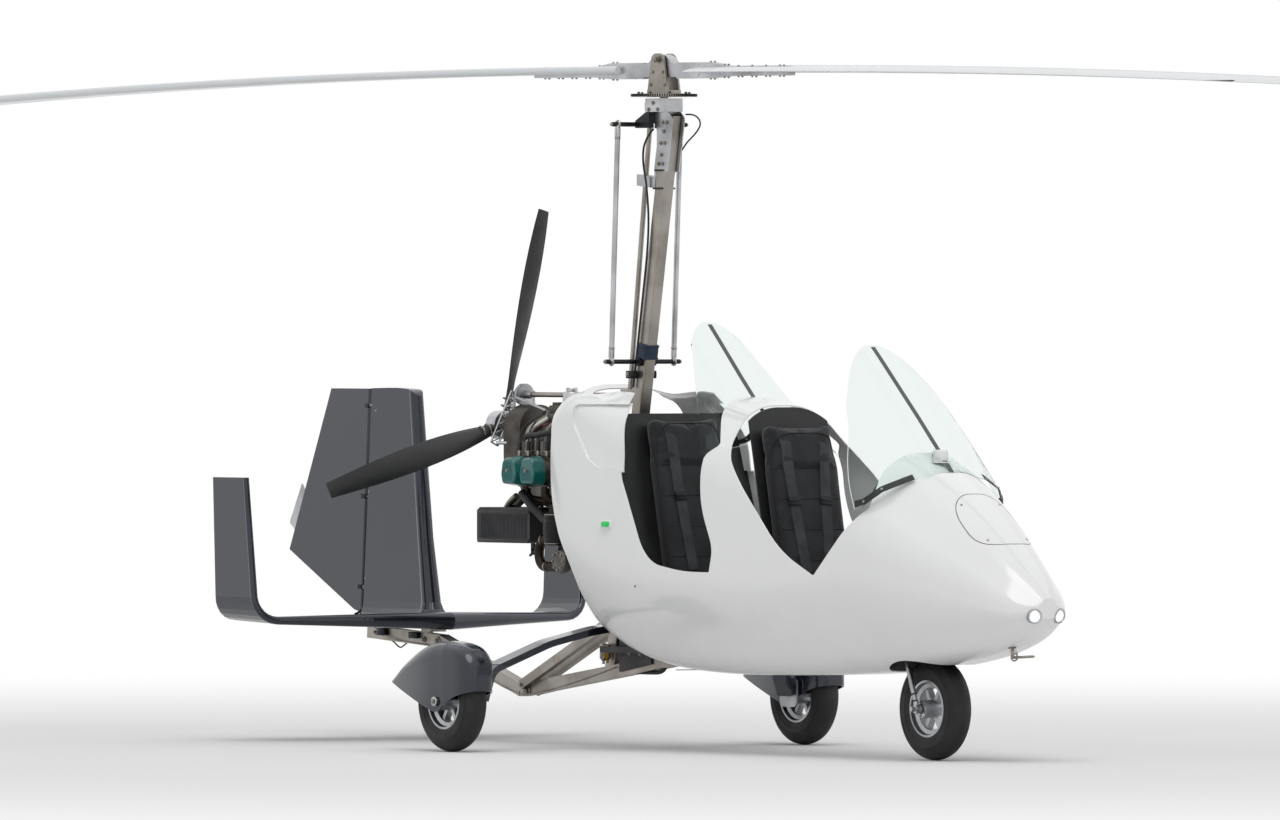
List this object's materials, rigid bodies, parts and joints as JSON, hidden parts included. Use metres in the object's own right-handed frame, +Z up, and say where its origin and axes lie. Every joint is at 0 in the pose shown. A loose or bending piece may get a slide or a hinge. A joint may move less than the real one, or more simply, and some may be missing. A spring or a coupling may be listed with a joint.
{
  "type": "gyrocopter",
  "caption": "Open tandem gyrocopter: hollow pod, clear windshields, mast with teetering rotor, pusher propeller, tail fins and steered nose wheel.",
  "frame": {"origin": "on the ground straight below the rotor shaft, as it stands on its three wheels", "axes": "+X to the nose, +Y to the left side, +Z up along the rotor shaft"},
  "size_m": [8.0754, 2.7098, 2.692],
  "materials": {
    "white_gloss": "gloss white composite skin",
    "dark_metallic": "composite in dark blue grey metallic paint, clear coated",
    "rotor_white": "aluminium blade skin in light grey",
    "clear_acrylic": "clear acrylic sheet",
    "stainless": "brushed stainless steel tube",
    "alloy": "machined and cast aluminium",
    "steel_dark": "dark machined steel",
    "tyre_rubber": "matt black tyre rubber",
    "black_composite": "black moulded composite",
    "seat_fabric": "black woven seat fabric",
    "cover_green": "cast aluminium in teal green enamel",
    "engine_grey": "cast engine aluminium, weathered",
    "exhaust_steel": "heat stained steel",
    "hose_black": "black rubber hose",
    "lamp_glass": "clear lamp lens",
    "nav_green": "green lamp lens",
    "nav_red": "red lamp lens"
  },
  "bodies": {
    "airframe": {"fuselage_shell": "white_gloss", "nose_wheel_well": "black_composite", "middle_fairing": "white_gloss", "cockpit_floor": "black_composite", "rear_bulkhead": "black_composite", "front_seat_shell": "black_composite", "instrument_panel": "black_composite", "panel_cowl": "white_gloss", "cockpit_controls": "black_composite", "front_seat_cushion": "seat_fabric", "front_seat_back": "seat_fabric", "rear_seat_cushion": "seat_fabric", "rear_seat_back": "seat_fabric", "mast": "stainless", "keel": "stainless", "tail_carrier": "stainless", "keel_struts": "stainless", "head_block": "alloy", "mast_cheeks": "alloy", "prerotator_shaft": "stainless", "control_rods": "alloy", "control_bars": "steel_dark", "front_windshield": "clear_acrylic", "rear_windshield": "clear_acrylic", "gear_bow": "dark_metallic", "gear_clamp": "black_composite", "left_wheel_fairing": "dark_metallic", "right_wheel_fairing": "dark_metallic", "left_axle": "alloy", "right_axle": "alloy", "tailplane": "dark_metallic", "centre_fin": "dark_metallic", "hinge_pin": "stainless", "engine_block": "engine_grey", "valve_covers": "cover_green", "intake_pipes": "engine_grey", "radiator": "black_composite", "exhaust": "exhaust_steel", "turbo": "engine_grey", "belt_drive": "alloy", "engine_mount": "steel_dark", "nose_gear_carrier": "steel_dark"},
    "rotor_shaft": {"rotor_tower": "stainless"},
    "rotor": {"hub_bar": "alloy", "blade_straps": "alloy", "rotor_blades": "rotor_white"},
    "propeller": {"propeller_hub": "alloy", "propeller_blades": "black_composite"},
    "rudder_body": {"rudder": "dark_metallic", "trim_tab": "alloy"},
    "fork": {"nose_fork": "alloy"},
    "nose_wheel": {"nose_tyre": "tyre_rubber", "nose_rim": "alloy"},
    "left_wheel": {"left_tyre": "tyre_rubber", "left_rim": "alloy"},
    "right_wheel": {"right_tyre": "tyre_rubber", "right_rim": "alloy"}
  },
  "joints": [
    {"name": "rotor_spin", "type": "hinge", "parent": "airframe", "child": "rotor_shaft", "pos_m": [0, 0, 2.53], "axis": [0, 0, 1], "continuous": true},
    {"name": "rotor_teeter", "type": "hinge", "parent": "rotor_shaft", "child": "rotor", "pos_m": [0, 0, 2.668], "axis": [-0.309, 0.9511, 0], "range_deg": [-8, 8]},
    {"name": "propeller_spin", "type": "hinge", "parent": "airframe", "child": "propeller", "pos_m": [-1.09, 0, 1.249], "axis": [1, 0, 0], "continuous": true},
    {"name": "rudder_hinge", "type": "hinge", "parent": "airframe", "child": "rudder_body", "pos_m": [-2.059, 0, 0.531], "axis": [0.0664, 0, 0.9978], "range_deg": [-25, 25]},
    {"name": "nose_steer", "type": "hinge", "parent": "airframe", "child": "fork", "pos_m": [1.768, 0, 0.195], "axis": [-0.342, 0, 0.9397], "range_deg": [-25, 25]},
    {"name": "nose_wheel_spin", "type": "hinge", "parent": "fork", "child": "nose_wheel", "pos_m": [1.768, 0, 0.195], "axis": [0, 1, 0], "continuous": true},
    {"name": "left_wheel_spin", "type": "hinge", "parent": "airframe", "child": "left_wheel", "pos_m": [-0.23, 0.836, 0.195], "axis": [0, 1, 0], "continuous": true},
    {"name": "right_wheel_spin", "type": "hinge", "parent": "airframe", "child": "right_wheel", "pos_m": [-0.23, -0.836, 0.195], "axis": [0, 1, 0], "continuous": true}
  ]
}
